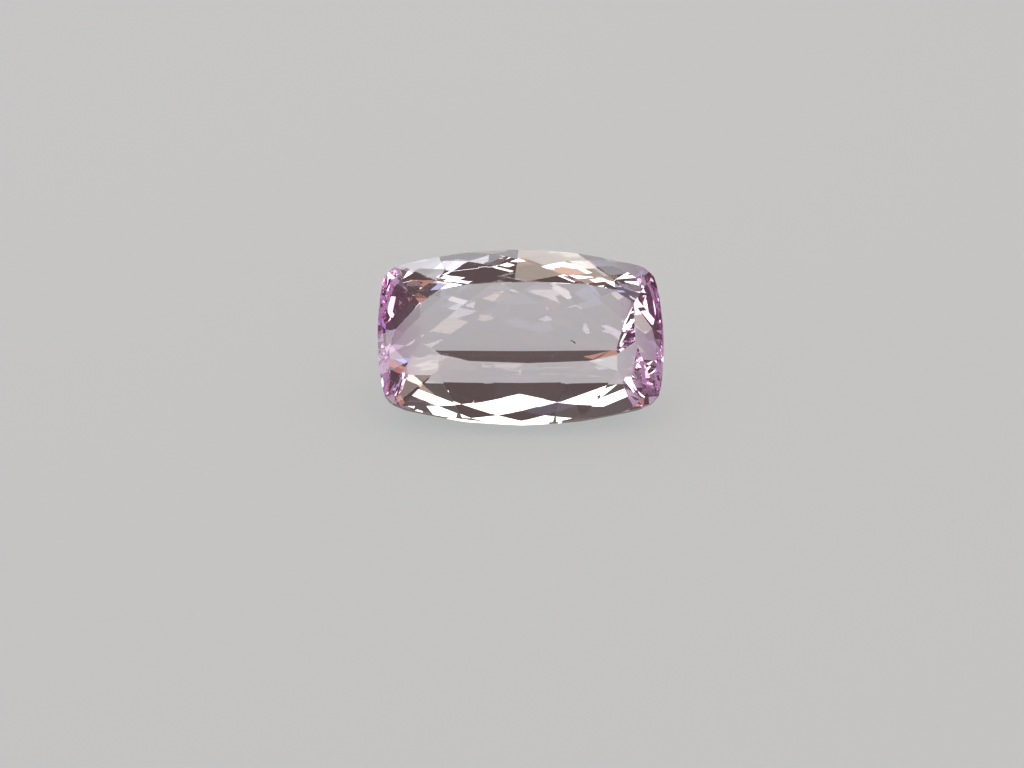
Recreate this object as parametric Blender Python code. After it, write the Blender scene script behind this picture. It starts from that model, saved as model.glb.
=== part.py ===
"""Kunzite, cut as a long cushion: one clear, pale lilac stone lying on a facet of its pavilion.

The stone is cut out of a block, one flat facet after another. In its own axes X runs along the
stone, Y across it and Z towards the table, and Z = 0 is the edge where the crown meets the girdle.
Azimuths turn from +X towards +Y. Each facet is a plane (normal, offset): the stone keeps the side
where normal . point < offset. The finished stone is then turned onto the facet that it rests on.
"""

import math

import bmesh
import bpy
import numpy as np
from mathutils import Matrix

MM = 0.001

# Outline of the girdle: long sides, ends and corners are circular arcs that meet tangentially.
HALF_LENGTH = 6.30 * MM
HALF_WIDTH = 4.13 * MM
SIDE_RADIUS = 18.94 * MM
END_RADIUS = 14.54 * MM
CORNER_RADIUS = 1.19 * MM
GIRDLE_HEIGHT = 0.22 * MM
GIRDLE_FACETS_PER_QUARTER = 16

# Crown and pavilion facets aim just outside the outline, so the girdle never thins to nothing.
OVERCUT = 0.03 * MM

# Crown: fourteen kites between the girdle and the table, with stars and upper girdle facets.
CROWN_HEIGHT = 1.50 * MM
CROWN_AZIMUTHS = (90.0, 82.2, 58.0, 7.4)
TABLE_HALF_LENGTH = 4.85 * MM
TABLE_HALF_WIDTH = 1.925 * MM
TABLE_ANGLES = (90.0, 67.0, 45.0, 19.0)
TABLE_ROUNDNESS = 3.0
TABLE_SHIFT = 0.233 * MM
STAR_SHARE_SIDE = 0.22
STAR_SHARE_END = 0.5

# Pavilion: staggered tiers of facets that flatten step by step down to a long keel.
PAVILION_AZIMUTHS = (90.0, 82.4, 74.6, 45.0, 17.0, 8.2, 0.0)
PAVILION_SLOPE = 46.5
TIER_STEPS = (13.5, 7.5, 3.0, 0.0, -3.0, -6.0, -8.5)
END_TIERS = 4
END_STEP_SHARE = 0.8
KEEL_HALF_LENGTH = 4.32 * MM
SIDE_HALF_LENGTH = 5.20 * MM
LAST_TIER_SPREAD = 0.6

# The facet the stone rests on: the sixth tier in the middle of the -Y side.
REST_TIER = 6

# Block the stone is cut from, and how close to a plane a corner counts as lying on it.
BLOCK_MARGIN = 1.0 * MM
BLOCK_DEPTH = 6.0 * MM
ON_PLANE = 0.0002 * MM

STONE_COLOUR = (0.93, 0.80, 0.90, 1.0)
REFRACTIVE_INDEX = 1.66
POLISH_ROUGHNESS = 0.02


def corner_arc():
    """Centre of the corner arc in the +X +Y quarter, and the azimuths where it starts and ends.

    The arc touches both others from inside, so its centre lies END_RADIUS - CORNER_RADIUS from the
    end arc's centre and SIDE_RADIUS - CORNER_RADIUS from the side arc's centre.
    """
    end = np.array([HALF_LENGTH - END_RADIUS, 0.0])
    side = np.array([0.0, HALF_WIDTH - SIDE_RADIUS])
    from_end = END_RADIUS - CORNER_RADIUS
    from_side = SIDE_RADIUS - CORNER_RADIUS
    span = np.linalg.norm(end - side)
    along = (end - side) / span
    reach = (from_side**2 - from_end**2 + span**2) / (2.0 * span)
    rise = math.sqrt(from_side**2 - reach**2)
    centre = side + along * reach + np.array([along[1], -along[0]]) * rise
    start = math.atan2(*(centre - end)[::-1])
    stop = math.atan2(*(centre - side)[::-1])
    return centre, start, stop


CORNER_CENTRE, CORNER_START, CORNER_STOP = corner_arc()


def outline_point(azimuth, height, grow=0.0):
    """Point of the outline whose outward normal has this azimuth, pushed out by grow."""
    across = np.array([math.cos(azimuth), math.sin(azimuth)])
    folded = math.atan2(abs(across[1]), abs(across[0]))
    if folded < CORNER_START:
        centre, radius = np.array([HALF_LENGTH - END_RADIUS, 0.0]), END_RADIUS
    elif folded > CORNER_STOP:
        centre, radius = np.array([0.0, HALF_WIDTH - SIDE_RADIUS]), SIDE_RADIUS
    else:
        centre, radius = CORNER_CENTRE, CORNER_RADIUS
    point = np.sign(across) * (centre + (radius + grow) * np.abs(across))
    return np.array([point[0], point[1], height])


def mirrored(degrees):
    """Angles of one quarter, mirrored over both axes into one rising ring, in radians."""
    ring = set()
    for angle in degrees:
        ring.update(round(a % 360.0, 6) for a in (angle, 180.0 - angle, 180.0 + angle, -angle))
    return [math.radians(angle) for angle in sorted(ring)]


def plane_through(first, second, third):
    """Plane through three points, facing away from the middle of the stone."""
    normal = np.cross(second - first, third - first)
    normal /= np.linalg.norm(normal)
    offset = normal @ first
    return (normal, offset) if offset > 0.0 else (-normal, -offset)


def plane_below(point, azimuth, slope):
    """Pavilion plane through a point, facing out at the azimuth and down, tilted by the slope."""
    normal = np.array(
        [
            math.sin(slope) * math.cos(azimuth),
            math.sin(slope) * math.sin(azimuth),
            -math.cos(slope),
        ]
    )
    return normal, normal @ point


def meet(first, second, third):
    """The point that three planes share."""
    planes = (first, second, third)
    return np.linalg.solve(np.array([p[0] for p in planes]), np.array([p[1] for p in planes]))


def girdle_planes():
    """Upright facets that touch the outline at equal steps along it."""
    arcs = (
        (END_RADIUS, 0.0, CORNER_START),
        (CORNER_RADIUS, CORNER_START, CORNER_STOP),
        (SIDE_RADIUS, CORNER_STOP, math.pi / 2.0),
    )
    lengths = np.cumsum([0.0] + [radius * (stop - start) for radius, start, stop in arcs])
    angles = [0.0, CORNER_START, CORNER_STOP, math.pi / 2.0]
    steps = (np.arange(GIRDLE_FACETS_PER_QUARTER) + 0.5) / GIRDLE_FACETS_PER_QUARTER
    planes = []
    for azimuth in mirrored(np.degrees(np.interp(steps * lengths[-1], lengths, angles))):
        normal = np.array([math.cos(azimuth), math.sin(azimuth), 0.0])
        planes.append((normal, normal @ outline_point(azimuth, 0.0)))
    return planes


def table_corner(angle):
    """Corner of the table on a rounded rectangle: |x / a|^n + |y / b|^n = 1, moved along X."""
    power = 2.0 / TABLE_ROUNDNESS
    across = np.array([math.cos(angle), math.sin(angle)])
    half = np.array([TABLE_HALF_LENGTH, TABLE_HALF_WIDTH])
    point = np.sign(across) * half * np.abs(across) ** power
    return np.array([point[0] + TABLE_SHIFT, point[1], CROWN_HEIGHT])


def crown_planes():
    """Table, kites, stars and upper girdle facets.

    A kite holds one table corner and one girdle point and runs level along the girdle there. Two
    neighbouring kites meet in a line, and the star between them reaches down that line by a share
    of the crown's height that grows from the long sides to the ends.
    """
    azimuths = mirrored(CROWN_AZIMUTHS)
    corners = [table_corner(angle) for angle in mirrored(TABLE_ANGLES)]
    feet = [outline_point(azimuth, 0.0, OVERCUT) for azimuth in azimuths]
    up = np.array([0.0, 0.0, 1.0])
    kites = []
    for azimuth, corner, foot in zip(azimuths, corners, feet):
        level = np.array([-math.sin(azimuth), math.cos(azimuth), 0.0])
        kites.append(plane_through(foot, foot + level * MM, corner))
    stars = []
    uppers = []
    for here in range(len(azimuths)):
        after = (here + 1) % len(azimuths)
        edge = corners[after] - corners[here]
        endwise = (edge[1] / np.linalg.norm(edge)) ** 2
        share = STAR_SHARE_SIDE + (STAR_SHARE_END - STAR_SHARE_SIDE) * endwise
        tip = meet((up, CROWN_HEIGHT * (1.0 - share)), kites[here], kites[after])
        stars.append(plane_through(corners[here], corners[after], tip))
        turn = (azimuths[after] - azimuths[here]) % (2.0 * math.pi)
        middle = outline_point(azimuths[here] + turn / 2.0, 0.0, OVERCUT)
        uppers.append(plane_through(tip, feet[here], middle))
        uppers.append(plane_through(tip, middle, feet[after]))
    return [(up, CROWN_HEIGHT)] + kites + stars + uppers


def pavilion_stations():
    """(azimuth, point) all round the girdle's lower edge: the ring's stations, and those between."""
    ring = mirrored(PAVILION_AZIMUTHS)
    points = [outline_point(azimuth, -GIRDLE_HEIGHT, OVERCUT) for azimuth in ring]
    stations = []
    for here, azimuth in enumerate(ring):
        after = points[(here + 1) % len(ring)]
        chord = after - points[here]
        stations.append((azimuth, points[here]))
        stations.append((math.atan2(-chord[0], chord[1]), (points[here] + after) / 2.0))
    return stations


def pavilion_slope(tier, azimuth, point):
    """Slope of a facet: towards the keel's height at its nearer end, changed by the tier's step."""
    base = math.radians(PAVILION_SLOPE)
    if abs(point[0]) > KEEL_HALF_LENGTH:
        sagitta = KEEL_HALF_LENGTH**2 / (2.0 * SIDE_RADIUS)
        keel_depth = math.tan(base) * (HALF_WIDTH - sagitta)
        keel_x = math.copysign(KEEL_HALF_LENGTH, point[0])
        run = (point[0] - keel_x) * math.cos(azimuth) + point[1] * math.sin(azimuth)
        base = math.atan2(keel_depth, run)
    step = math.radians(TIER_STEPS[tier - 1])
    return base + (step if abs(point[0]) <= SIDE_HALF_LENGTH else step * END_STEP_SHARE)


def pavilion_turn(tier, azimuth, point):
    """Azimuth of a facet: on the long sides the lower tiers turn towards straight across."""
    if tier == 1 or abs(point[0]) > SIDE_HALF_LENGTH:
        return azimuth
    straight = math.copysign(math.pi / 2.0, math.sin(azimuth))
    spread = np.interp(tier, [1, len(TIER_STEPS)], [1.0, LAST_TIER_SPREAD])
    return straight + math.remainder(azimuth - straight, 2.0 * math.pi) * spread


def pavilion_tiers():
    """One dictionary for each tier, from the place round the girdle to the facet's plane.

    The first tier stands between the ring's stations and the second on them. Each later facet
    starts where the facet two tiers above it ends, between two facets of the tier above.
    """
    stations = pavilion_stations()
    count = len(stations)
    tiers = []
    for tier in range(1, len(TIER_STEPS) + 1):
        planes = {}
        for place in range(tier % 2, count, 2):
            azimuth, point = stations[place]
            if tier > END_TIERS and abs(point[0]) > SIDE_HALF_LENGTH:
                continue
            start = point
            if tier > 2:
                beside = ((place - 1) % count, (place + 1) % count)
                if any(side not in tiers[-1] for side in beside):
                    continue
                start = meet(tiers[-2][place], tiers[-1][beside[0]], tiers[-1][beside[1]])
            slope = pavilion_slope(tier, azimuth, point)
            planes[place] = plane_below(start, pavilion_turn(tier, azimuth, point), slope)
        tiers.append(planes)
    return tiers


def rest_slope():
    """Slope of the facet that the stone lies on."""
    return math.radians(PAVILION_SLOPE + TIER_STEPS[REST_TIER - 1])


def cut_facet(stone, plane):
    """Slice off all that lies outside the plane and close the cut with one flat face."""
    normal, offset = plane
    bmesh.ops.bisect_plane(
        stone,
        geom=stone.verts[:] + stone.edges[:] + stone.faces[:],
        dist=ON_PLANE,
        plane_co=normal * offset,
        plane_no=normal,
        clear_outer=True,
    )
    rim = [edge for edge in stone.edges if edge.is_boundary]
    if rim:
        bmesh.ops.edgeloop_fill(stone, edges=rim)


def cut_stone():
    """The block with every facet cut, as a mesh in the stone's own axes."""
    stone = bmesh.new()
    bmesh.ops.create_cube(stone, size=1.0)
    length = 2.0 * (HALF_LENGTH + BLOCK_MARGIN)
    width = 2.0 * (HALF_WIDTH + BLOCK_MARGIN)
    height = CROWN_HEIGHT + BLOCK_MARGIN + BLOCK_DEPTH
    bmesh.ops.scale(stone, vec=(length, width, height), verts=stone.verts)
    middle = CROWN_HEIGHT + BLOCK_MARGIN - height / 2.0
    bmesh.ops.translate(stone, vec=(0.0, 0.0, middle), verts=stone.verts)
    for plane in girdle_planes() + crown_planes():
        cut_facet(stone, plane)
    for tier in pavilion_tiers():
        for plane in tier.values():
            cut_facet(stone, plane)
    bmesh.ops.recalc_face_normals(stone, faces=stone.faces)
    mesh = bpy.data.meshes.new("kunzite")
    stone.to_mesh(mesh)
    stone.free()
    return mesh


def stone_material():
    """Clear pale lilac, polished."""
    material = bpy.data.materials.new("kunzite")
    material.use_nodes = True
    shader = material.node_tree.nodes["Principled BSDF"]
    shader.inputs["Base Color"].default_value = STONE_COLOUR
    shader.inputs["Roughness"].default_value = POLISH_ROUGHNESS
    shader.inputs["Metallic"].default_value = 0.0
    shader.inputs["IOR"].default_value = REFRACTIVE_INDEX
    shader.inputs["Transmission Weight"].default_value = 1.0
    material.diffuse_color = STONE_COLOUR
    return material


def main():
    """Clear the scene, cut the stone and lay it on its rest facet, centred over the origin."""
    for old in list(bpy.data.objects):
        bpy.data.objects.remove(old, do_unlink=True)
    collection = bpy.data.collections.new("kunzite")
    bpy.context.scene.collection.children.link(collection)
    stone = bpy.data.objects.new("kunzite", cut_stone())
    collection.objects.link(stone)
    stone.data.materials.append(stone_material())

    turn = rest_slope()
    corners = np.array([vertex.co[:] for vertex in stone.data.vertices])
    placed = corners @ np.array(Matrix.Rotation(turn, 3, "X")).T
    low, high = placed.min(axis=0), placed.max(axis=0)
    stone.rotation_euler = (turn, 0.0, 0.0)
    stone.location = (-(low[0] + high[0]) / 2.0, -(low[1] + high[1]) / 2.0, -low[2])
    bpy.context.view_layer.update()


main()
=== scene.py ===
import math

import bmesh
import bpy
import numpy as np
from mathutils import Matrix, Vector


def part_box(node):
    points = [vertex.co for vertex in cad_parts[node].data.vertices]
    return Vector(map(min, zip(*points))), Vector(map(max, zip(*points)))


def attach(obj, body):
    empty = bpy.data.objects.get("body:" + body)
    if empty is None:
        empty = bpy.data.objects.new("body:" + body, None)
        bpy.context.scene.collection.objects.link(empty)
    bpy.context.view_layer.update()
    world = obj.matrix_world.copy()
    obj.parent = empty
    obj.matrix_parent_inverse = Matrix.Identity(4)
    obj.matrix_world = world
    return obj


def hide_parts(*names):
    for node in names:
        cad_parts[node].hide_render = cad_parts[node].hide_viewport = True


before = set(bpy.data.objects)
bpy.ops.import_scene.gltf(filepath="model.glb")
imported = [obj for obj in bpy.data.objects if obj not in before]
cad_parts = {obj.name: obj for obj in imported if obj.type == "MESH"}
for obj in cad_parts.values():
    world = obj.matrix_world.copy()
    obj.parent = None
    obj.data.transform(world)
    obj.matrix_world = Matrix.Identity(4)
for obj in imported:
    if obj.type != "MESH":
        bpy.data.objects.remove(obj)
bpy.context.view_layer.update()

bl_info = {
    "name": "Kunzite cushion cut",
    "version": (1, 0, 0),
    "blender": (4, 5, 0),
    "location": "View3D > Sidebar > Kunzite",
    "description": "A clear, pale lilac kunzite cut as a long cushion, lying on a pale floor",
    "category": "Add Mesh",
}

MM = 0.001
BODY = "root"
NODE = "kunzite"

# How the stone lies: the table's tilt about X, and the middle of the girdle's upper edge.
TABLE_TILT = math.radians(40.5)
LOW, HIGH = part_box(NODE)
STONE_LENGTH = HIGH.x - LOW.x
GIRDLE_CENTRE = Vector((0.0, -0.1257, 3.3230)) * MM
TABLE_NORMAL = Vector((0.0, -math.sin(TABLE_TILT), math.cos(TABLE_TILT)))
STONE_TO_WORLD = Matrix.Rotation(TABLE_TILT, 4, "X")

# Dark flakes in the stone: middle (mm along the stone, across it, above the girdle), half sizes (mm)
# and turn (degrees).
FLAKES = (
    ((2.16, -0.70, 0.72), (0.075, 0.022, 0.020), -8.0),
    ((2.27, -0.77, 0.70), (0.055, 0.034, 0.020), -40.0),
    ((4.42, 0.95, 1.10), (0.016, 0.014, 0.012), 0.0),
)

# Air under the facet that the stone lies on.
FLOOR_GAP = 0.02 * MM

# Rings of soft boxes and cards: height above the horizon, first azimuth from +Y towards +X, number,
# width and height (degrees). The gap at the top of the front is what the table mirrors to the camera.
SOFT_BOX_RINGS = (
    (16.0, 6.0, 12, 14.0, 10.0),
    (37.0, 12.0, 13, 13.0, 11.0),
    (57.0, 4.0, 11, 15.0, 11.0),
    (77.0, 20.0, 6, 20.0, 9.0),
)
TABLE_MIRRORS = (170.0, 71.5)
TABLE_MIRROR_WIDTH = 16.0
LAMPS = (
    (3.0, (1.0, 0.98, 0.93)),
    (0.45, (1.0, 0.50, 0.33)),
    (2.6, (1.0, 0.88, 0.72)),
    (0.9, (0.55, 0.66, 1.0)),
    (3.0, (0.95, 0.97, 1.0)),
)


class Socket:
    """A number or a link in a material, whose sums and products add Math nodes."""

    def __init__(self, tree, link):
        self.tree = tree
        self.link = link

    def math(self, operation, *others, first=None):
        values = [self if first is None else first, *others]
        node = self.tree.node("ShaderNodeMath", {"operation": operation}, dict(enumerate(values)))
        return node.out(0)

    def __add__(self, other):
        return self.math("ADD", other)

    __radd__ = __add__

    def __mul__(self, other):
        return self.math("MULTIPLY", other)

    __rmul__ = __mul__

    def __sub__(self, other):
        return self.math("SUBTRACT", other)

    def __rsub__(self, other):
        return self.math("SUBTRACT", self, first=other)

    def __truediv__(self, other):
        return self.math("DIVIDE", other)

    def __pow__(self, other):
        return self.math("POWER", other)

    def __abs__(self):
        return self.math("ABSOLUTE")

    def ease(self, low, high):
        """0 below low, 1 above high and a smooth step between them."""
        settings = {"interpolation_type": "SMOOTHSTEP"}
        node = self.tree.node("ShaderNodeMapRange", settings, {"Value": self, "From Min": low, "From Max": high})
        return node.out("Result")


class Node:
    """One node of a material."""

    def __init__(self, tree, node):
        self.tree = tree
        self.node = node

    def out(self, name):
        return Socket(self.tree, self.node.outputs[name])

    def set(self, name, value):
        """Give an input a number, a colour or a link."""
        socket = self.node.inputs[name]
        if isinstance(value, Socket):
            self.tree.tree.links.new(value.link, socket)
        else:
            socket.default_value = value


class Tree:
    """The nodes of one material."""

    def __init__(self, name):
        self.material = bpy.data.materials.new(name)
        self.material.use_nodes = True
        self.tree = self.material.node_tree
        self.tree.nodes.clear()

    def node(self, kind, settings=None, inputs=None):
        """Add a node: its settings first, then the values or links of its inputs."""
        made = Node(self, self.tree.nodes.new(kind))
        for name, value in (settings or {}).items():
            setattr(made.node, name, value)
        for name, value in (inputs or {}).items():
            made.set(name, value)
        return made

    def place(self):
        """Object coordinates, in metres."""
        return self.node("ShaderNodeTexCoord").out("Object")

    def axis(self, vector, name):
        return self.node("ShaderNodeSeparateXYZ", None, {"Vector": vector}).out(name)

    def noise(self, vector, scale, detail=2.0, roughness=0.5):
        inputs = {"Vector": vector, "Scale": scale, "Detail": detail, "Roughness": roughness}
        return self.node("ShaderNodeTexNoise", None, inputs).out("Fac")

    def blend(self, share, first, second):
        """Mix two colours by a share."""
        inputs = {0: share, 6: first, 7: second}
        return self.node("ShaderNodeMix", {"data_type": "RGBA"}, inputs).out(2)

    def finish(self, surface, volume=None):
        out = self.node("ShaderNodeOutputMaterial", {"target": "ALL"}, {"Surface": surface})
        if volume is not None:
            out.set("Volume", volume)
        return self.material


def rgba(colour):
    return (colour[0], colour[1], colour[2], 1.0)


class KunziteStone(bpy.types.PropertyGroup):
    """The cut stone's finish."""

    refractive_index: bpy.props.FloatProperty(
        name="Refractive index", description="How strongly the stone bends light", default=1.66, min=1.3, max=2.5
    )
    middle: bpy.props.FloatVectorProperty(
        name="Middle", description="Tint in the middle of the stone", subtype="COLOR", default=(0.98, 0.95, 0.975)
    )
    ends: bpy.props.FloatVectorProperty(
        name="Ends", description="Tint at the two ends", subtype="COLOR", default=(0.80, 0.40, 0.76)
    )
    absorbed: bpy.props.FloatVectorProperty(
        name="Absorption colour", description="Colour that deep stone takes on", subtype="COLOR", default=(0.90, 0.55, 0.82)
    )
    depth: bpy.props.FloatProperty(
        name="Absorption density", description="Strength of the absorption, for each metre", default=16.0, min=0.0
    )
    edge_wear: bpy.props.FloatProperty(
        name="Edge wear", description="Width of the rounding on the table's edge", default=0.02 * MM, unit="LENGTH"
    )


class KunziteStage(bpy.types.PropertyGroup):
    """Floor, light and camera."""

    floor_size: bpy.props.FloatProperty(
        name="Floor size", description="Length of the floor's sides", default=0.8, unit="LENGTH"
    )
    floor_colour: bpy.props.FloatVectorProperty(
        name="Floor colour", description="Colour of the floor", subtype="COLOR", default=(0.74, 0.80, 0.83)
    )
    room: bpy.props.FloatVectorProperty(
        name="Room", description="Dim light from the room around", subtype="COLOR", default=(0.11, 0.085, 0.08)
    )
    light_distance: bpy.props.FloatProperty(
        name="Light distance", description="From the stone to each soft box", default=0.25, unit="LENGTH"
    )
    brightness: bpy.props.FloatProperty(name="Brightness", description="Scales all the soft boxes", default=1.0)
    lens: bpy.props.FloatProperty(name="Lens", description="Focal length", default=98.44, unit="CAMERA")
    distance: bpy.props.FloatProperty(
        name="Camera distance", description="From the camera to the stone", default=123.35 * MM, unit="LENGTH"
    )
    tilt: bpy.props.FloatProperty(
        name="Tilt", description="Between the view and the table's upright, across the stone",
        default=math.radians(22.6), unit="ROTATION",
    )
    turn: bpy.props.FloatProperty(
        name="Turn", description="Between the view and the table's upright, along the stone",
        default=math.radians(3.0), unit="ROTATION",
    )
    aim: bpy.props.FloatVectorProperty(
        name="Aim", description="How far right of and above the picture's middle the stone is", size=2,
        default=(8.9 / 22.7 * MM, 48.6 / 22.7 * MM), unit="LENGTH",
    )


def stone_material(stone):
    """Clear kunzite: a faint lilac that deepens towards the ends, with polished facets."""
    tree = Tree("kunzite_polished")
    place = tree.place()
    along = abs(tree.axis(place, "X")) / (STONE_LENGTH / 2.0)
    zoning = tree.noise(place, 300.0, 3.0) - 0.5
    share = (along + zoning * 0.12).ease(0.62, 0.98)
    colour = tree.blend(share, rgba(stone.middle), rgba(stone.ends))
    surface = tree.node(
        "ShaderNodeBsdfPrincipled",
        None,
        {
            "Base Color": colour,
            "Roughness": 0.0,
            "IOR": stone.refractive_index,
            "Transmission Weight": 1.0,
        },
    )
    inside = tree.node(
        "ShaderNodeVolumeAbsorption", None, {"Color": rgba(stone.absorbed), "Density": stone.depth}
    )
    return tree.finish(surface.out("BSDF"), inside.out("Volume"))


def floor_material(stage):
    """Matt, pale, slightly green grey."""
    tree = Tree("pale_floor")
    place = tree.place()
    shade = tree.noise(place, 9.0, 2.0)
    pale = stage.floor_colour
    colour = tree.blend(shade, rgba([c * 0.985 for c in pale]), rgba([c * 1.015 for c in pale]))
    surface = tree.node("ShaderNodeBsdfPrincipled", None, {"Base Color": colour, "Roughness": 0.9})
    return tree.finish(surface.out("BSDF"))


def add_piece(name, mesh):
    """Put a mesh in the scene as a piece of the stone."""
    piece = bpy.data.objects.new(name, mesh)
    bpy.context.scene.collection.objects.link(piece)
    return piece


def facets_of(node):
    """The node's loose triangles merged, with those of one facet joined into one flat face."""
    mesh = bmesh.new()
    mesh.from_mesh(node.data)
    bmesh.ops.remove_doubles(mesh, verts=mesh.verts, dist=0.0002 * MM)
    bmesh.ops.dissolve_limit(
        mesh, angle_limit=math.radians(0.4), use_dissolve_boundaries=False, verts=mesh.verts, edges=mesh.edges
    )
    return mesh


class KUNZITE_OT_stone(bpy.types.Operator):
    """Build the cut stone over its solid"""

    bl_idname = "kunzite.stone"
    bl_label = "Cut stone"

    def execute(self, context):
        stone = context.scene.kunzite_stone
        facets = facets_of(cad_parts[NODE])
        worn = facets.edges.layers.float.new("bevel_weight_edge")
        for edge in facets.edges:
            if any(face.normal.angle(TABLE_NORMAL) < math.radians(1.0) for face in edge.link_faces):
                edge[worn] = 1.0
        mesh = bpy.data.meshes.new("kunzite_stone")
        facets.to_mesh(mesh)
        facets.free()
        mesh.shade_flat()
        piece = add_piece("kunzite_stone", mesh)
        rounding = piece.modifiers.new("edge_wear", "BEVEL")
        rounding.limit_method = "WEIGHT"
        rounding.width = stone.edge_wear
        rounding.segments = 2
        mesh.materials.append(stone_material(stone))
        piece.visible_shadow = False
        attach(piece, BODY)
        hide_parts(NODE)
        return {"FINISHED"}


def direction(azimuth, height):
    """Unit vector at an azimuth from +Y towards +X and a height above the horizon, in degrees."""
    azimuth, height = math.radians(azimuth), math.radians(height)
    level = math.cos(height)
    return Vector((math.sin(azimuth) * level, math.cos(azimuth) * level, math.sin(height)))


def add_soft_box(name, stage, box):
    """A rectangular lamp on a sphere round the stone, facing it; radiance = power / (pi * area)."""
    azimuth, height, wide, high, bright, colour = box
    out = direction(azimuth, height)
    lamp = bpy.data.lights.new(name, "AREA")
    lamp.shape = "RECTANGLE"
    lamp.size = 2.0 * stage.light_distance * math.tan(math.radians(wide) / 2.0)
    lamp.size_y = 2.0 * stage.light_distance * math.tan(math.radians(high) / 2.0)
    lamp.energy = bright * stage.brightness * math.pi * lamp.size * lamp.size_y
    lamp.color = colour
    holder = bpy.data.objects.new(name, lamp)
    holder.location = GIRDLE_CENTRE + out * stage.light_distance
    holder.rotation_euler = out.to_track_quat("Z", "Y").to_euler()
    holder.visible_camera = False
    bpy.context.scene.collection.objects.link(holder)


def add_camera(stage):
    """Camera that looks at the table from in front, the stone's length level in the picture."""
    turn, tilt = stage.turn, stage.tilt
    back = Vector((-math.sin(turn), -math.sin(tilt) * math.cos(turn), math.cos(tilt) * math.cos(turn)))
    right = (Vector((1.0, 0.0, 0.0)) - back * back.x).normalized()
    up = back.cross(right)
    eye = back * stage.distance
    target = -right * stage.aim[0] - up * stage.aim[1]
    forward = (target - eye).normalized()
    side = forward.cross(up).normalized()
    above = side.cross(forward)
    turned = Matrix((side, above, -forward)).transposed().to_4x4()
    camera = bpy.data.cameras.new("camera")
    camera.lens = stage.lens
    camera.sensor_width = 36.0
    camera.clip_start = 0.01
    camera.clip_end = 10.0
    holder = bpy.data.objects.new("camera", camera)
    holder.matrix_world = (
        Matrix.Translation(GIRDLE_CENTRE) @ STONE_TO_WORLD @ Matrix.Translation(eye) @ turned
    )
    bpy.context.scene.collection.objects.link(holder)
    bpy.context.scene.camera = holder


def flake_mesh(name, centre, half, turn):
    """A closed, lumpy spheroid: centre + half * (sin v cos u, sin v sin u, cos v), each radius scaled by
    1 + 0.25 sin(3u + 2v), the whole turned about the table's upright; u runs round and v from pole to pole.
    """
    around, down = 24, 12
    u = np.arange(around) * 2.0 * math.pi / around
    v = np.arange(1, down) * math.pi / down
    u, v = np.meshgrid(u, v)
    lumps = 1.0 + 0.25 * np.sin(3.0 * u + 2.0 * v) * np.sin(v)
    points = np.stack([np.sin(v) * np.cos(u), np.sin(v) * np.sin(u), np.cos(v)], -1) * lumps[..., None]
    points = np.vstack([points.reshape(-1, 3), [[0.0, 0.0, 1.0]], [[0.0, 0.0, -1.0]]]) * np.array(half)
    place = Matrix.Translation(GIRDLE_CENTRE) @ STONE_TO_WORLD @ Matrix.Translation(centre)
    place = np.array(place @ Matrix.Rotation(turn, 4, "Z"))
    points = points @ place[:3, :3].T + place[:3, 3]
    ring = np.arange(around)
    after = (ring + 1) % around
    start = np.arange(down - 2)[:, None] * around
    sides = np.stack([start + ring, start + around + ring, start + around + after, start + after], -1)
    top, bottom = len(points) - 2, len(points) - 1
    last = (down - 2) * around
    caps = [(top, int(a), int(b)) for a, b in zip(ring, after)]
    caps += [(bottom, last + int(b), last + int(a)) for a, b in zip(ring, after)]
    mesh = bpy.data.meshes.new(name)
    mesh.from_pydata(points.tolist(), [], sides.reshape(-1, 4).tolist() + caps)
    return mesh


def flake_material():
    """Near-black mineral, with a brown cast that comes and goes."""
    tree = Tree("dark_mineral")
    mottle = tree.noise(tree.place(), 9000.0, 2.0)
    colour = tree.blend(mottle, (0.012, 0.010, 0.012, 1.0), (0.07, 0.045, 0.035, 1.0))
    surface = tree.node("ShaderNodeBsdfPrincipled", None, {"Base Color": colour, "Roughness": 0.6})
    return tree.finish(surface.out("BSDF"))


class KUNZITE_OT_inclusions(bpy.types.Operator):
    """Set the small dark flakes inside the stone"""

    bl_idname = "kunzite.inclusions"
    bl_label = "Inclusions"

    def execute(self, context):
        material = flake_material()
        for number, (centre, half, turn) in enumerate(FLAKES, start=1):
            name = f"inclusion_{number}"
            centre = Vector(centre) * MM
            half = [length * MM for length in half]
            mesh = flake_mesh(name, centre, half, math.radians(turn))
            mesh.materials.append(material)
            piece = add_piece(name, mesh)
            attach(piece, BODY)
        return {"FINISHED"}


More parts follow.
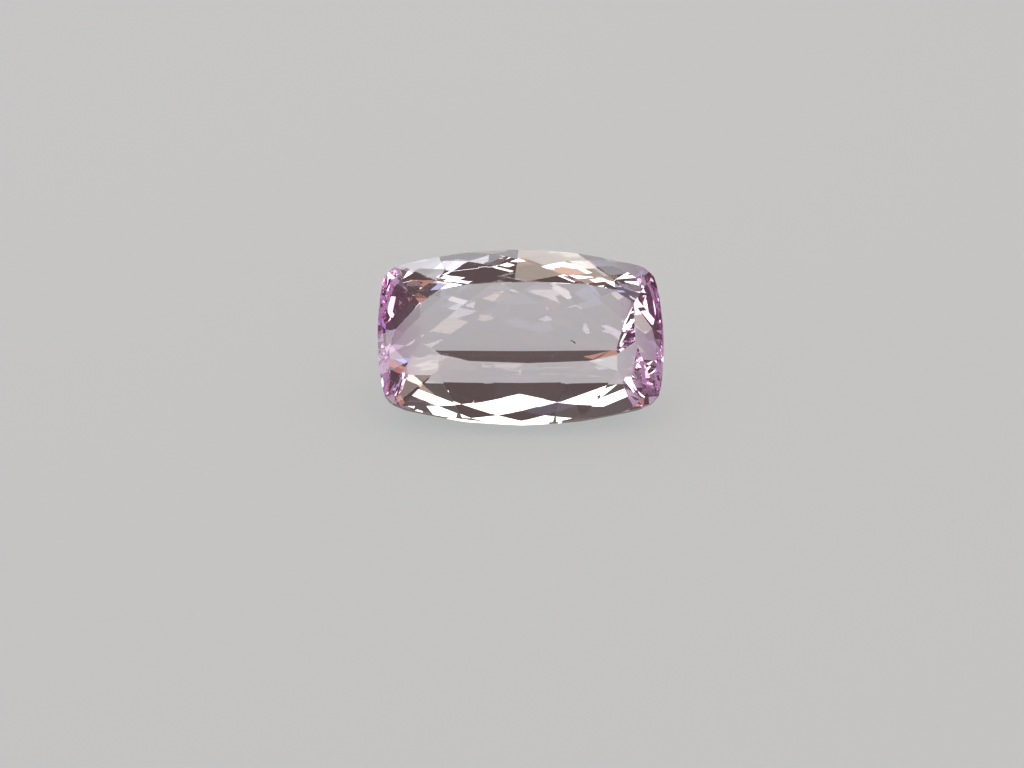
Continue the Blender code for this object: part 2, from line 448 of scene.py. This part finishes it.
class KUNZITE_OT_stage(bpy.types.Operator):
    """Add the floor, the soft boxes and the camera"""

    bl_idname = "kunzite.stage"
    bl_label = "Stage"

    def execute(self, context):
        stage = context.scene.kunzite_stage
        half = stage.floor_size / 2.0
        corners = [(-half, -half, -FLOOR_GAP), (half, -half, -FLOOR_GAP), (half, half, -FLOOR_GAP), (-half, half, -FLOOR_GAP)]
        mesh = bpy.data.meshes.new("floor")
        mesh.from_pydata(corners, [], [(0, 1, 2, 3)])
        mesh.materials.append(floor_material(stage))
        floor = add_piece("floor", mesh)
        number = 0
        mirrored = direction(*TABLE_MIRRORS)
        for height, first, count, wide, high in SOFT_BOX_RINGS:
            for place in range(count):
                azimuth = first + 360.0 * place / count
                bright, colour = LAMPS[number % len(LAMPS)]
                number += 1
                if math.degrees(direction(azimuth, height).angle(mirrored)) > TABLE_MIRROR_WIDTH:
                    add_soft_box(f"soft_box_{number}", stage, (azimuth, height, wide, high, bright, colour))
        world = bpy.data.worlds.new("room")
        world.use_nodes = True
        world.node_tree.nodes["Background"].inputs["Color"].default_value = rgba(stage.room)
        context.scene.world = world
        add_camera(stage)
        context.scene.view_settings.view_transform = "Standard"
        context.scene.cycles.caustics_refractive = False
        context.scene.cycles.caustics_reflective = False
        context.scene.cycles.max_bounces = 32
        context.scene.cycles.transmission_bounces = 32
        context.scene.cycles.glossy_bounces = 32
        return {"FINISHED"}


class KUNZITE_PT_panel(bpy.types.Panel):
    """Lists the stone's operators and their sizes and colours"""

    bl_label = "Kunzite"
    bl_idname = "KUNZITE_PT_panel"
    bl_space_type = "VIEW_3D"
    bl_region_type = "UI"
    bl_category = "Kunzite"

    def draw(self, context):
        self.layout.operator("kunzite.inclusions")
        for operator, group in (("kunzite.stone", "kunzite_stone"), ("kunzite.stage", "kunzite_stage")):
            box = self.layout.box()
            box.operator(operator)
            settings = getattr(context.scene, group)
            for name in settings.bl_rna.properties.keys():
                if name not in ("rna_type", "name"):
                    box.prop(settings, name)


CLASSES = (
    KunziteStone,
    KunziteStage,
    KUNZITE_OT_stone,
    KUNZITE_OT_inclusions,
    KUNZITE_OT_stage,
    KUNZITE_PT_panel,
)


def register():
    for item in CLASSES:
        bpy.utils.register_class(item)
    bpy.types.Scene.kunzite_stone = bpy.props.PointerProperty(type=KunziteStone)
    bpy.types.Scene.kunzite_stage = bpy.props.PointerProperty(type=KunziteStage)


def unregister():
    del bpy.types.Scene.kunzite_stage
    del bpy.types.Scene.kunzite_stone
    for item in reversed(CLASSES):
        bpy.utils.unregister_class(item)


def main():
    """Build every piece and the stage."""
    register()
    bpy.ops.kunzite.stage()
    bpy.ops.kunzite.stone()
    bpy.ops.kunzite.inclusions()


if __name__ == "__main__":
    main()
